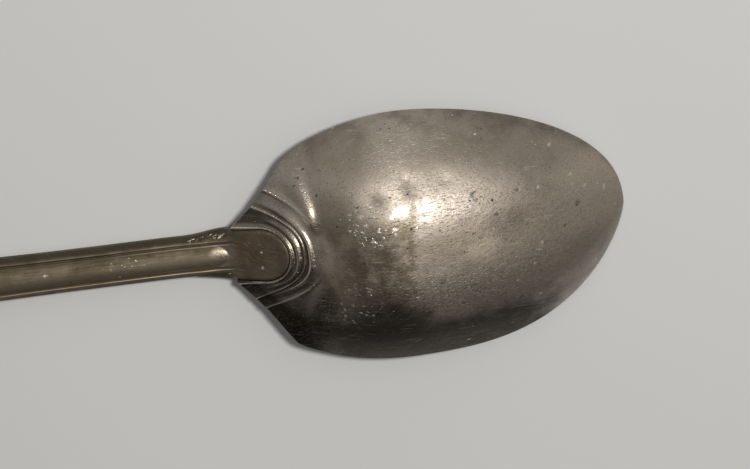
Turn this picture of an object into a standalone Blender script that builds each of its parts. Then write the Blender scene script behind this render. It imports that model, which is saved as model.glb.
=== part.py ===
"""Stew spoon on its face: a struck bowl, a threaded handle lapped over its heel, and the solder between.

Lengths are in metres. x runs along the spoon towards the bowl's tip and is measured from the middle of the
drop, the round tongue of the handle on the bowl's heel. y runs across the spoon. z is up, towards the back
of the spoon, and is measured from the table that the tip and the handle's end lie on.
"""
import math

import bmesh
import bpy
from mathutils import Vector

# The whole spoon
SPOON_LENGTH = 0.300
CLEARANCE = 0.00025

# Bowl from above: an egg whose heel end is cut to hollow shoulders
WHOLE_SIDE = 0.0310
WORN_SIDE = 0.0319
TIP_X = 0.0900
WIDEST_X = 0.0354
TAB_X = -0.0072
TAB_HALF_WIDTH = 0.0071
SHOULDER_X = 0.0055
SHOULDER_SLOPE = 0.73
SHOULDER_SOFTNESS = 0.0015
# Hollow of the shoulder and where it turns into the egg, on the whole side and on the worn side
WHOLE_SHOULDER = (30.0, 0.0066)
WORN_SHOULDER = (50.0, 0.0049)

# Shape of the tip on each side of the middle: the whole side and the side worn by scraping
WHOLE_TIP = (1.65, 0.44)
WORN_TIP = (2.8, 0.71)

# Bowl from the side
RIM_TILT = math.radians(6.0)
RIM_WIDTH = 0.0013
WALL = 0.0016
WALL_FULL_X = 0.016
SHOULDER_LIFT = 0.001
CORNER_EDGE = 0.0012
BOWL_DEPTH = 0.018
DEEPEST_X = 0.033
WHOLE_CROWN_POWER = 2.5
WORN_CROWN_POWER = 2.8
TIP_POWER = 2.4

# Rings struck round the heel: the inner one follows the drop, the others are given by their nose and by
# where their two arms reach the edge, on the whole side and on the worn side
RING_STANDOFF = 0.0006
RING_ARM_X = -0.0070
RING_ARC_SHARE = 0.75
OUTER_RINGS = ((0.0101, -0.0014, -0.0030), (0.0146, 0.0021, -0.0009))
RING_POWER = 2.7
# Sections across the heel: place counted in rings (0 is the inner ring), height above the plain bowl at the
# rings' nose, where two ribs stand between them, and on their arms, where they are edges between coves
HEEL_SECTIONS = (
    (-0.14, 0.00105, 0.00105),
    (-0.04, 0.0013, 0.0013),
    (0.09, 0.00115, 0.0010),
    (0.27, 0.00072, 0.0007),
    (0.55, 0.0012, 0.00058),
    (0.68, 0.0011, 0.0006),
    (0.9, 0.00068, 0.0008),
    (1.01, 0.0008, 0.0011),
    (1.16, 0.00036, 0.0006),
    (1.42, 0.00112, 0.0004),
    (1.52, 0.00104, 0.00038),
    (1.78, 0.00034, 0.00042),
    (1.98, 0.00015, 0.00076),
    (2.12, 0.00007, 0.0003),
    (2.26, 0.0, 0.0),
)
# How far across the rings' noses give way to their arms, at the inner rings and at the outermost one
ARM_SHARES = ((0.28, 0.8), (0.1, 0.42))
# Folds where the shoulders turn into the body: inner and outer ends; radius and height at each end
FOLD_ENDS = ((0.0146, 0.0066), (0.0105, 0.0215))
FOLD_RADIUS = (0.0013, 0.0026)
FOLD_RISE = (0.0009, 0.0003)
WORN_FOLD_SHARE = 0.5

# Handle from above
DROP_RADIUS = 0.0063
NECK_HALF_WIDTH = 0.0064
STEM_HALF_WIDTH = 0.0051
END_HALF_WIDTH = 0.0125
END_ROUND = 0.015
NECK_FLARE_X = -0.019
SWELL_X = -0.030
SWELL_POWER = 1.6

# Handle from the side
NECK_X = -0.014
NECK_BLEND = (-0.0190, -0.0080)
NECK_FRONT_Z = 0.0010
NECK_BEND_X = -0.025
NECK_BEND_RISE = 0.0016
STEM_THICKNESS = 0.0047
END_THICKNESS = 0.0026
FULL_THICKNESS_X = -0.060
ARCH_HEIGHT = 0.0010
REST_LENGTH = 0.040
DROP_RISE = 0.0014
DROP_CROWN = 0.0003
DROP_NECK_THICKNESS = 0.0020
DROP_NOSE_THICKNESS = 0.0015

# Section of the handle: distance in from the edge, height from the line of the thread's crest
BACK_SECTION = ((0.0, -0.0017), (0.0005, -0.0009), (0.001, -0.00025), (0.00145, 0.0), (0.00195, -0.0003),
                (0.00235, 0.0001))
DROP_SECTION = (-0.0006, -0.0001, 0.0, 0.0, 0.0, 0.0)
BEVEL_WIDTH = 0.0012
FRONT_SECTION = ((0.0, 0.0008), (0.0004, 0.00025), (0.0009, 0.0), (0.0015, 0.0), (0.00175, 0.0003),
                 (0.002, 0.0))
FIELD_RISE = 0.0007
FIELD_STEPS = (0.35, 0.7, 1.0)
FIELD_NOSE_X = -0.0108
FIELD_NOSE_LENGTH = 0.0042
THREAD_FADE = (-0.0098, -0.0060)

# Solder layer
SOLDER_THICKNESS = 0.00025
SOLDER_INSET = 0.0004

# How finely the round shapes are divided
RIM_STEPS = 28
BODY_ROWS = 12
NOSE_STEPS = 9
NECK_STEPS = 15
SIDE_STEPS = 16
END_STEPS = 10

END_X = TIP_X - SPOON_LENGTH
END_CENTRE_X = END_X + END_ROUND
REST_X = END_X + REST_LENGTH


def ramp(value, start, stop):
    """Rise smoothly from 0 at start to 1 at stop."""
    t = min(max((value - start) / (stop - start), 0.0), 1.0)
    return t * t * (3.0 - 2.0 * t)


def mix(a, b, t):
    return a + (b - a) * t


def front_line(x):
    """Height of the handle's front: flat on the table at the end, a low arch, then the bend at the neck."""
    t = min(max((x - REST_X) / (TAB_X - REST_X), 0.0), 1.0)
    bend = min(max((x - NECK_BEND_X) / (TAB_X - NECK_BEND_X), 0.0), 1.0)
    arch = NECK_FRONT_Z * ramp(t, 0.0, 1.0) + ARCH_HEIGHT * math.sin(math.pi * t) ** 2
    return arch + NECK_BEND_RISE * bend ** 2


def thickness(x):
    return mix(END_THICKNESS, STEM_THICKNESS, ramp(x, END_X, FULL_THICKNESS_X))


def rim_height(x):
    """Height of the bowl's rim plane, which touches the table at the tip."""
    return (TIP_X - x) * math.tan(RIM_TILT)


def shoulder_width(x, side, inset):
    """Width from the middle to the hollow shoulder that runs from the tab out to the corner."""
    hollow, _ = WHOLE_SHOULDER if side > 0 else WORN_SHOULDER
    along = x - TAB_X
    edge = TAB_HALF_WIDTH + SHOULDER_SLOPE * along + hollow * along * along
    return edge - inset * math.hypot(1.0, SHOULDER_SLOPE)


def corner(side):
    """Where the shoulder on one side turns into the egg."""
    return (WHOLE_SHOULDER if side > 0 else WORN_SHOULDER)[1]


def half_width(x, side, inset):
    """Width of the bowl from the middle to one side (1 or -1), or to a line inset from its edge."""
    full = (WHOLE_SIDE if side > 0 else WORN_SIDE) - inset
    if x >= WIDEST_X:
        f = min((x - WIDEST_X) / (TIP_X - inset - WIDEST_X), 1.0)
        power, fullness = WHOLE_TIP if side > 0 else WORN_TIP
        return full * (1.0 - f ** power) ** fullness
    # The egg meets the shoulder at the corner and goes on straight behind it
    corner_x = corner(side)
    width = shoulder_width(corner_x, side, inset)
    to_corner = WIDEST_X - corner_x
    reach = to_corner / math.sqrt(1.0 - (width / full) ** 2)
    behind = max(corner_x - x, 0.0)
    egg = full * math.sqrt(1.0 - ((WIDEST_X - x - behind) / reach) ** 2)
    egg -= behind * to_corner * full * full / (reach * reach * width)
    shoulder = shoulder_width(x, side, inset)
    return (egg + shoulder - math.hypot(egg - shoulder, SHOULDER_SOFTNESS)) / 2.0


def spine_height(x):
    """Height of the plain bowl's back along the middle."""
    if x >= DEEPEST_X:
        rise = BOWL_DEPTH * (1.0 - ((x - DEEPEST_X) / (TIP_X - DEEPEST_X)) ** TIP_POWER)
    else:
        neck_rise = front_line(NECK_X) + thickness(NECK_X) - rim_height(NECK_X)
        rise = mix(neck_rise, BOWL_DEPTH, ramp(x, NECK_X, DEEPEST_X))
    return rim_height(x) + rise


def edge_height(x):
    """Height of the bowl's edge: the rim plane, a little higher at the shoulders, falling to the neck."""
    neck_edge = front_line(TAB_X) + 0.75 * thickness(TAB_X)
    rim = rim_height(x) + SHOULDER_LIFT * (1.0 - ramp(x, SHOULDER_X, 2.5 * SHOULDER_X))
    return mix(neck_edge, rim, ramp(x, 1.6 * TAB_X, SHOULDER_X))


def crown(x, y, inset):
    """Share of the middle's height that a section keeps at y."""
    side = half_width(x, y, inset)
    if side < 1e-6:
        return 0.0
    power = WHOLE_CROWN_POWER if y > 0 else WORN_CROWN_POWER
    return 1.0 - min(abs(y) / side, 1.0) ** power


def fold_lift(x, y):
    """Height of the soft folds that run out from the ribs' nose to the shoulder corners."""
    inner, outer = (Vector(end) for end in FOLD_ENDS)
    along = outer - inner
    here = Vector((x, abs(y))) - inner
    t = here.dot(along) / along.length_squared
    part = min(max(t, 0.0), 1.0)
    away = (here - along * t).length / mix(*FOLD_RADIUS, part)
    ends = ramp(t, -0.3, 0.1) * (1.0 - ramp(t, 0.7, 1.35))
    share = 1.0 if y > 0 else WORN_FOLD_SHARE
    return share * mix(*FOLD_RISE, part) * math.exp(-away * away) * ends


def bowl_back(x, y):
    edge = edge_height(x)
    share = crown(x, y, 0.0)
    return edge + (spine_height(x) - edge) * share + fold_lift(x, y) * min(3.0 * share, 1.0)


def bowl_front(x, y):
    tab_edge = edge_height(TAB_X) - front_line(TAB_X)
    edge_depth = mix(tab_edge, CORNER_EDGE, ramp(x, TAB_X, SHOULDER_X))
    edge = edge_height(x) - edge_depth * (1.0 - ramp(x, SHOULDER_X, WALL_FULL_X))
    if x >= DEEPEST_X:
        f = min((x - DEEPEST_X) / (TIP_X - RIM_WIDTH - DEEPEST_X), 1.0)
        spine = rim_height(x) + (BOWL_DEPTH - WALL) * (1.0 - f ** TIP_POWER)
    else:
        tab = spine_height(TAB_X) - front_line(TAB_X)
        spine = spine_height(x) - mix(tab, WALL, ramp(x, TAB_X, WALL_FULL_X))
    return edge + (spine - edge) * crown(x, y, RIM_WIDTH)


def inner_ring(across, inset):
    """Ring that follows the drop: half a circle, then arms that open slightly to the shoulder edge."""
    radius = DROP_RADIUS + RING_STANDOFF
    turn = abs(across)
    if turn < RING_ARC_SHARE:
        angle = turn / RING_ARC_SHARE * math.pi / 2.0
        return Vector((radius * math.cos(angle), math.copysign(radius * math.sin(angle), across)))
    t = (turn - RING_ARC_SHARE) / (1.0 - RING_ARC_SHARE)
    y = mix(radius, half_width(RING_ARM_X, across, inset), t * t)
    return Vector((RING_ARM_X * t, math.copysign(y, across)))


def outer_ring(across, inset, nose_x, whole_arm_x, worn_arm_x):
    """Ring from one shoulder edge (across is -1) round its nose to the other (1)."""
    arm_x = whole_arm_x if across > 0 else worn_arm_x
    spread = math.sin(across * math.pi / 2.0)
    x = mix(nose_x, arm_x, abs(spread) ** RING_POWER)
    return Vector((x, spread * half_width(arm_x, across, inset)))


def ring_point(across, place, inset):
    """Point on the heel at a place counted in rings."""
    inner = inner_ring(across, inset)
    middle = outer_ring(across, inset, *OUTER_RINGS[0])
    if place < 0.0:
        # Inside the inner ring the heel goes no further back than the tab
        step = (middle - inner) * place
        step.x = max(step.x, (TAB_X - inner.x) * place / HEEL_SECTIONS[0][0])
        return inner + step
    if place < 1.0:
        return inner.lerp(middle, place)
    return middle.lerp(outer_ring(across, inset, *OUTER_RINGS[1]), place - 1.0)


def rim_point(across, inset):
    """Point on the bowl's rim, from one shoulder corner round the tip to the other."""
    x = mix(corner(across), TIP_X - inset, math.sin((1.0 - abs(across)) * math.pi / 2.0))
    return Vector((x, math.copysign(half_width(x, across, inset), across)))


def bowl_plan(across, place, inset):
    """Point of the bowl from above: the tab's middle at place -1, the rings, then the body out to the rim."""
    ring_first = HEEL_SECTIONS[0][0]
    ring_last = HEEL_SECTIONS[-1][0]
    if place < ring_first:
        return Vector((TAB_X, 0.0))
    inner = ring_point(across, place if place < ring_last else ring_last, inset)
    if place <= ring_last:
        return inner
    return inner.lerp(rim_point(across, inset), place - ring_last)


def heel_lift(across, section):
    """Height of the heel's ribs and threads above the plain bowl, at one place of the heel's sections."""
    place, nose, arm = section
    inner, outer = (Vector(share) for share in ARM_SHARES)
    start, stop = inner.lerp(outer, ramp(place, 1.5, 1.9))
    return mix(nose, arm, ramp(abs(across), start, stop))


def neck_flare(x):
    """How far the handle widens towards the neck, outside its threads, which run on straight."""
    return (NECK_HALF_WIDTH - STEM_HALF_WIDTH) * ramp(x, NECK_FLARE_X, TAB_X)


def handle_half_width(x):
    swell = (END_HALF_WIDTH - STEM_HALF_WIDTH) * ramp(x, SWELL_X, END_CENTRE_X) ** SWELL_POWER
    drop = (DROP_RADIUS - NECK_HALF_WIDTH) * ramp(x, TAB_X, 0.0)
    return STEM_HALF_WIDTH + swell + neck_flare(x) + drop


def drop_top(x):
    """Height of the handle's back along the line of the thread's crest and on along the drop."""
    stem = front_line(x) + thickness(x)
    heel = spine_height(x) + DROP_RISE * ramp(x, NECK_X, 0.0)
    return mix(stem, heel, ramp(x, *NECK_BLEND))


def lap_height(x):
    """Height of the drop's flat underside."""
    neck = drop_top(TAB_X) - DROP_NECK_THICKNESS
    nose = drop_top(DROP_RADIUS) - DROP_NOSE_THICKNESS
    return mix(neck, nose, (x - TAB_X) / (DROP_RADIUS - TAB_X))


LAP_ANGLE = math.atan2(lap_height(DROP_RADIUS) - lap_height(TAB_X), DROP_RADIUS - TAB_X)
LAP_DROP = (SOLDER_THICKNESS + 2.0 * CLEARANCE) / math.cos(LAP_ANGLE)


def handle_side():
    """Edge points and their middle points down one side of the handle, from the drop's nose to the end."""
    stops = []
    for i in range(NOSE_STEPS):
        angle = math.pi / 2.0 * i / NOSE_STEPS
        stops.append((DROP_RADIUS * math.cos(angle), DROP_RADIUS * math.sin(angle), 0.0))
    for i in range(NECK_STEPS):
        x = NECK_FLARE_X * i / NECK_STEPS
        stops.append((x, handle_half_width(x), x))
    for i in range(SIDE_STEPS):
        x = mix(NECK_FLARE_X, END_CENTRE_X, i / SIDE_STEPS)
        stops.append((x, handle_half_width(x), x))
    for i in range(END_STEPS + 1):
        angle = math.pi / 2.0 * i / END_STEPS
        x = END_CENTRE_X - END_ROUND * math.sin(angle)
        stops.append((x, END_HALF_WIDTH * math.cos(angle), END_CENTRE_X))
    return stops


def handle_loop():
    """The whole outline of the handle, once round from the drop's nose and back to it."""
    side = handle_side()
    return side + [(x, -y, middle) for x, y, middle in side[-2::-1]]


def inset_point(stop, distance):
    x, y, middle_x = stop
    edge = Vector((x, y))
    middle = Vector((middle_x, 0.0))
    reach = (middle - edge).length
    return edge.lerp(middle, min(distance / reach, 1.0))


def field_height(x, y, side):
    """The convex middle field between the threads, with a rounded nose at the neck."""
    past_nose = max(x - FIELD_NOSE_X, 0.0) / FIELD_NOSE_LENGTH
    left = 1.0 - (y / side) ** 2 - past_nose ** 2
    return FIELD_RISE * max(left, 0.0) ** 0.7


def handle_back_point(stop, row):
    sides = len(BACK_SECTION)
    reach = (Vector(stop[:2]) - Vector((stop[2], 0.0))).length
    flare = neck_flare(stop[0])
    foot = BACK_SECTION[-1][0]
    field = reach - flare - foot
    distance = BACK_SECTION[row][0] if row < sides else foot + field * FIELD_STEPS[row - sides]
    inset = distance + flare * ramp(distance, 0.0, BEVEL_WIDTH)
    point = inset_point(stop, inset)
    step = min(row, sides - 1)
    drop_share = ramp(point.x, *THREAD_FADE)
    z = drop_top(point.x) + mix(BACK_SECTION[step][1], DROP_SECTION[step], drop_share)
    z -= DROP_CROWN * drop_share * (point.y / DROP_RADIUS) ** 2
    if row >= sides:
        z += field_height(point.x, reach - inset, field)
    return Vector((point.x, point.y, z))


def handle_front_point(stop, row):
    if row < len(FRONT_SECTION):
        distance, lift = FRONT_SECTION[row]
        point = inset_point(stop, distance)
    else:
        lift = 0.0
        point = Vector((stop[2], 0.0))
    return Vector((point.x, point.y, front_line(point.x) + lift))


def add_skin(bm, columns, rows, place):
    """Add a grid of faces and move each of its corners to place(column, row)."""
    grid = bmesh.ops.create_grid(bm, x_segments=columns, y_segments=rows, size=1.0)
    for vert in grid["verts"]:
        column = round((vert.co.x + 1.0) / 2.0 * columns)
        row = round((vert.co.y + 1.0) / 2.0 * rows)
        vert.co = place(column, row)
    bmesh.ops.remove_doubles(bm, verts=grid["verts"], dist=1e-7)


def close_skins(name, bm, collection):
    """Join the open edges of a back and a front skin into one body."""
    open_edges = [edge for edge in bm.edges if edge.is_boundary]
    bmesh.ops.bridge_loops(bm, edges=open_edges)
    bmesh.ops.recalc_face_normals(bm, faces=bm.faces)
    mesh = bpy.data.meshes.new(name)
    bm.to_mesh(mesh)
    bm.free()
    body = bpy.data.objects.new(name, mesh)
    collection.objects.link(body)
    return body


def prism(name, points, depth, collection):
    """A flat outline filled and given depth, as a mesh."""
    outline = bpy.data.curves.new(name, "CURVE")
    outline.dimensions = "2D"
    outline.fill_mode = "BOTH"
    outline.extrude = depth / 2.0
    spline = outline.splines.new("POLY")
    spline.points.add(len(points) - 1)
    for point, (x, y) in zip(spline.points, points):
        point.co = (x, y, 0.0, 1.0)
    spline.use_cyclic_u = True
    drawn = bpy.data.objects.new(name + "_outline", outline)
    mesh = bpy.data.meshes.new_from_object(drawn)
    mesh.name = name
    bpy.data.objects.remove(drawn)
    bpy.data.curves.remove(outline)
    body = bpy.data.objects.new(name, mesh)
    collection.objects.link(body)
    bm = bmesh.new()
    bm.from_mesh(mesh)
    bmesh.ops.remove_doubles(bm, verts=bm.verts, dist=1e-7)
    bmesh.ops.recalc_face_normals(bm, faces=bm.faces)
    bm.to_mesh(mesh)
    bm.free()
    return body


def drop_outline(grow, back_x):
    """Outline of the drop from above, grown or shrunk, cut straight across at back_x."""
    upper = []
    for i in range(2 * NOSE_STEPS):
        angle = math.pi / 2.0 * i / (2 * NOSE_STEPS)
        r = DROP_RADIUS + grow
        upper.append((r * math.cos(angle), r * math.sin(angle)))
    for i in range(NOSE_STEPS + 1):
        x = back_x * i / NOSE_STEPS
        upper.append((x, handle_half_width(x) + grow))
    return upper + [(x, -y) for x, y in upper[:0:-1]]


def cut(body, cutter):
    """Take the cutter's shape out of the body."""
    cutter.display_type = "WIRE"
    cutter.hide_render = True
    boolean = body.modifiers.new("cut", "BOOLEAN")
    boolean.operation = "DIFFERENCE"
    boolean.solver = "EXACT"
    boolean.object = cutter


def metal(name, colour, roughness):
    material = bpy.data.materials.new(name)
    material.use_nodes = True
    shader = material.node_tree.nodes["Principled BSDF"]
    shader.inputs["Base Color"].default_value = (*colour, 1.0)
    shader.inputs["Roughness"].default_value = roughness
    shader.inputs["Metallic"].default_value = 1.0
    material.diffuse_color = (*colour, 1.0)
    return material


def build_bowl(collection, cutters):
    """The struck bowl: a back skin with the heel's rings, a plain hollow front skin, and the drop's seat."""
    body_rows = [1.0 - (1.0 - i / BODY_ROWS) ** 1.35 for i in range(1, BODY_ROWS + 1)]
    sections = [HEEL_SECTIONS[0], *HEEL_SECTIONS] + [HEEL_SECTIONS[-1]] * BODY_ROWS
    places = [-1.0] + [place for place, _, _ in HEEL_SECTIONS]
    places += [HEEL_SECTIONS[-1][0] + row for row in body_rows]
    columns = 2 * RIM_STEPS

    def back(column, row):
        across = (column - RIM_STEPS) / RIM_STEPS
        point = bowl_plan(across, places[row], 0.0)
        return Vector((point.x, point.y, bowl_back(point.x, point.y) + heel_lift(across, sections[row])))

    def front(column, row):
        point = bowl_plan((column - RIM_STEPS) / RIM_STEPS, places[row], RIM_WIDTH)
        return Vector((point.x, point.y, bowl_front(point.x, point.y)))

    bm = bmesh.new()
    add_skin(bm, columns, len(places) - 1, back)
    add_skin(bm, columns, len(places) - 1, front)
    bowl = close_skins("bowl", bm, collection)

    tall = BOWL_DEPTH * 2.0
    seat = prism("seat_cutter", drop_outline(CLEARANCE, NECK_FLARE_X), 2.0 * tall, cutters)
    bm = bmesh.new()
    bm.from_mesh(seat.data)
    below = bmesh.ops.bisect_plane(
        bm,
        geom=bm.verts[:] + bm.edges[:] + bm.faces[:],
        plane_co=(0.0, 0.0, lap_height(0.0) - LAP_DROP),
        plane_no=(-math.sin(LAP_ANGLE), 0.0, math.cos(LAP_ANGLE)),
        clear_inner=True,
    )
    bmesh.ops.contextual_create(bm, geom=[e for e in below["geom_cut"] if isinstance(e, bmesh.types.BMEdge)])
    bmesh.ops.recalc_face_normals(bm, faces=bm.faces)
    bm.to_mesh(seat.data)
    bm.free()
    cut(bowl, seat)
    return bowl


def build_handle(collection, cutters):
    """Stem, threaded edges and drop in one body, then the half-lap that leaves room for the bowl's tab."""
    loop = handle_loop()
    columns = len(loop) - 1
    bm = bmesh.new()
    back_rows = len(BACK_SECTION) + len(FIELD_STEPS) - 1
    add_skin(bm, columns, back_rows, lambda column, row: handle_back_point(loop[column], row))
    add_skin(bm, columns, len(FRONT_SECTION), lambda column, row: handle_front_point(loop[column], row))
    handle = close_skins("handle", bm, collection)

    back_x = TAB_X - CLEARANCE
    past_x = DROP_RADIUS * 1.5
    profile = [(back_x, -STEM_THICKNESS), (past_x, -STEM_THICKNESS), (past_x, lap_height(past_x)),
               (back_x, lap_height(back_x))]
    lap = prism("lap_cutter", profile, 4.0 * DROP_RADIUS, cutters)
    lap.rotation_euler = (math.pi / 2.0, 0.0, 0.0)
    cut(handle, lap)
    return handle


def build_solder(collection):
    """A flat layer lying between the drop and its seat."""
    tilt = math.cos(LAP_ANGLE)
    outline = [(x / tilt, y) for x, y in drop_outline(-SOLDER_INSET, TAB_X + SOLDER_INSET)]
    solder = prism("solder", outline, SOLDER_THICKNESS, collection)
    solder.rotation_euler = (0.0, -LAP_ANGLE, 0.0)
    solder.location = (0.0, 0.0, lap_height(0.0) - LAP_DROP / 2.0)
    return solder


def build():
    for old in list(bpy.data.objects):
        bpy.data.objects.remove(old)
    spoon = bpy.data.collections.new("stew_spoon")
    cutters = bpy.data.collections.new("cutters")
    bpy.context.scene.collection.children.link(spoon)
    bpy.context.scene.collection.children.link(cutters)

    bowl = build_bowl(spoon, cutters)
    handle = build_handle(spoon, cutters)
    solder = build_solder(spoon)
    bowl.data.materials.append(metal("worn_bowl_metal", (0.42, 0.38, 0.33), 0.32))
    handle.data.materials.append(metal("worn_handle_metal", (0.40, 0.36, 0.31), 0.34))
    solder.data.materials.append(metal("hard_solder", (0.62, 0.58, 0.50), 0.45))
    for part in (bowl, handle):
        for polygon in part.data.polygons:
            polygon.use_smooth = True
        part.data.set_sharp_from_angle(angle=math.radians(40.0))

    # The spoon's frame stands on the table under the middle of its length and width
    corners = [vert.co for part in (bowl, handle) for vert in part.data.vertices]
    middle_x = (min(c.x for c in corners) + max(c.x for c in corners)) / 2.0
    middle_y = (min(c.y for c in corners) + max(c.y for c in corners)) / 2.0
    frame = bpy.data.objects.new("spoon_frame", None)
    frame.location = (-middle_x, -middle_y, -min(c.z for c in corners))
    spoon.objects.link(frame)
    for part in (bowl, handle, solder, *cutters.objects):
        part.parent = frame


build()
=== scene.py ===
"""A worn stew spoon lying on its face on a pale table, seen from above.

Lengths are in metres. The spoon's shape is written along x from the middle of the drop, the round tongue of
the handle on the bowl's heel, towards the bowl's tip; y runs across it, and z is up, towards its back.
"""
import math

import bpy
from mathutils import Matrix, Vector, noise


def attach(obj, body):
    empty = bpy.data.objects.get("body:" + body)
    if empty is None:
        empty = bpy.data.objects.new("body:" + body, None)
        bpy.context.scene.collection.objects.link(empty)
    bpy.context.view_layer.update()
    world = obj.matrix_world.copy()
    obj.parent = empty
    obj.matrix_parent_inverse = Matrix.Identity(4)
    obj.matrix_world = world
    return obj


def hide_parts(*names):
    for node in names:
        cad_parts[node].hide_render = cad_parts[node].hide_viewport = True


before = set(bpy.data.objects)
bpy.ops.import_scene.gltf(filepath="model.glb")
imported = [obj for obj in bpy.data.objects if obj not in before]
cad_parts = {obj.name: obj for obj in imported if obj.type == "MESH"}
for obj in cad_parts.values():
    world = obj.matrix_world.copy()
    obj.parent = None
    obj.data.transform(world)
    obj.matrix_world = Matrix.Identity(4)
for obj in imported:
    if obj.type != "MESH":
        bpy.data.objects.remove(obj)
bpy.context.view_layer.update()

# Where the drop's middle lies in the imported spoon's frame
DROP_PLACE = Vector((0.0600, 0.00046, 0.0))

# The whole spoon
SPOON_LENGTH = 0.300
CLEARANCE = 0.0001

# Bowl from above
WHOLE_SIDE = 0.0310
WORN_SIDE = 0.0319
TIP_X = 0.0900
WIDEST_X = 0.0354
TAB_X = -0.0072
TAB_HALF_WIDTH = 0.0071
SHOULDER_X = 0.0055
SHOULDER_SLOPE = 0.73
SHOULDER_SOFTNESS = 0.0015
# How hollow each shoulder is, and where it turns into the egg
WHOLE_SHOULDER = (30.0, 0.0066)
WORN_SHOULDER = (50.0, 0.0049)
# Power and fullness of the curve from the widest place to the tip
WHOLE_TIP = (1.65, 0.44)
WORN_TIP = (2.8, 0.71)

# Bowl from the side
RIM_TILT = math.radians(6.0)
RIM_WIDTH = 0.0013
WALL = 0.0016
WALL_FULL_X = 0.016
SHOULDER_LIFT = 0.001
SHOULDER_LIFT_END_X = 2.5 * SHOULDER_X
NECK_EDGE_X = 1.6 * TAB_X
NECK_EDGE_SHARE = 0.75
CORNER_EDGE = 0.0012
BOWL_DEPTH = 0.018
DEEPEST_X = 0.033
WHOLE_CROWN_POWER = 2.5
WORN_CROWN_POWER = 2.8
TIP_POWER = 2.4
NO_WIDTH = 1e-6
RIM_FADE = 3.0

# Rings struck round the heel
RING_STANDOFF = 0.0004
RING_ARM_X = -0.0070
RING_ARC_SHARE = 0.75
# Outer rings: x of the nose, and of the arms' ends on the whole and on the worn side
OUTER_RINGS = ((0.0101, -0.0014, -0.0030), (0.0146, 0.0021, -0.0009))
RING_POWER = 2.7
# Shares of half the heel between which a nose turns into arms, on the inner rings and on the outermost
ARM_START = (0.28, 0.2)
ARM_FULL = (0.8, 0.62)
OUTERMOST_RING = (1.5, 1.9)
# Sections across the heel at the rings' nose and on their arms: place in rings, height above the plain bowl
NOSE_SECTION = (
    (-0.25, 0.0009),
    (-0.06, 0.00122),
    (0.03, 0.0013),
    (0.1, 0.00118),
    (0.2, 0.00086),
    (0.28, 0.0007),
    (0.33, 0.0007),
    (0.39, 0.00088),
    (0.48, 0.00122),
    (0.54, 0.00127),
    (0.62, 0.00114),
    (0.76, 0.00082),
    (0.88, 0.00055),
    (0.94, 0.00055),
    (1.0, 0.0007),
    (1.04, 0.0007),
    (1.09, 0.00052),
    (1.15, 0.0004),
    (1.2, 0.0005),
    (1.29, 0.00118),
    (1.34, 0.00127),
    (1.39, 0.0012),
    (1.5, 0.0008),
    (1.6, 0.00056),
    (1.72, 0.0004),
    (1.86, 0.00024),
    (2.0, 0.00012),
    (2.26, 0.0),
)
ARM_SECTION = (
    (-0.25, 0.00085),
    (-0.06, 0.00106),
    (-0.015, 0.0013),
    (0.02, 0.0013),
    (0.06, 0.00105),
    (0.1, 0.00075),
    (0.3, 0.00058),
    (0.6, 0.00054),
    (0.86, 0.00062),
    (0.94, 0.00082),
    (0.985, 0.0011),
    (1.01, 0.0011),
    (1.05, 0.0009),
    (1.11, 0.00056),
    (1.3, 0.0004),
    (1.55, 0.00035),
    (1.82, 0.0004),
    (1.92, 0.00054),
    (1.985, 0.00082),
    (2.01, 0.00082),
    (2.05, 0.0006),
    (2.12, 0.0002),
    (2.26, 0.0),
)
HEEL_FIRST = NOSE_SECTION[0][0]
HEEL_LAST = NOSE_SECTION[-1][0]
# A ring's place counts as a full groove or ridge when it lies this far from what is this far beside it
RING_HOLLOW = 0.0003
RING_REACH = 0.08
# Folds where the hollow shoulders turn into the body: inner and outer ends, radius and height at each end
FOLD_ENDS = ((0.0129, 0.0086), (0.0088, 0.0215))
FOLD_RADIUS = (0.0015, 0.0024)
FOLD_RISE = (0.0017, 0.0009)
WORN_FOLD_SHARE = 0.5
FOLD_START = (-0.3, 0.3)
FOLD_END = (0.6, 1.3)

# Tarnish left in the heel's coves, tarnish with painted shade in dents, grime on the fronts, and painted
# shade along the flanks that fades towards the tip
COVE_LEVEL = 0.00105
COVE_DEPTH = 0.0005
COVE_START = (0.05, 0.3)
COVE_END = (1.2, 1.45)
COVE_GRIME = 0.6
DENT_FULL = 0.0005
DENT_GRIME_AND_SHADE = 0.5
FRONT_GRIME = 0.3
# Painted shade along the flanks: where it starts on each side, how strong on the whole side, and where it
# fades towards the tip
WHOLE_FLANK = (0.65, 1.0)
WHOLE_FLANK_SHADE = 0.42
WORN_FLANK = (0.4, 0.8)
FLANK_SHADE_TIP_FADE = (0.055, 0.08)
FLANK_SHADE_TIP_FADE_SHARE = 0.8

# Unevenness: waves to the metre, seed and share on the bowl; waves along and across and seed on the handle
BOWL_WAVES = ((130.0, 3.7, 1.0), (300.0, 1.3, 0.5))
BOWL_WAVE_HEIGHT = 0.00005
HANDLE_WAVES = (140.0, 220.0, 8.1)
HANDLE_WAVE_HEIGHT = 0.00003
DENTS_START = (0.012, 0.02)
DENT_REACH = 3.0

# Handle from above
DROP_RADIUS = 0.0066
NECK_HALF_WIDTH = 0.0064
STEM_HALF_WIDTH = 0.0051
END_HALF_WIDTH = 0.0125
END_ROUND = 0.015
NECK_FLARE_X = -0.019
SWELL_X = -0.030
SWELL_POWER = 1.6

# Handle from the side
NECK_X = -0.014
NECK_BLEND = (-0.0190, -0.0080)
NECK_FRONT_Z = 0.0010
NECK_BEND_X = -0.025
NECK_BEND_RISE = 0.0016
STEM_THICKNESS = 0.0047
END_THICKNESS = 0.0026
FULL_THICKNESS_X = -0.060
ARCH_HEIGHT = 0.0010
REST_LENGTH = 0.040
DROP_RISE = 0.0014
DROP_CROWN = 0.0003
DROP_NECK_THICKNESS = 0.0020
DROP_NOSE_THICKNESS = 0.0015

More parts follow.
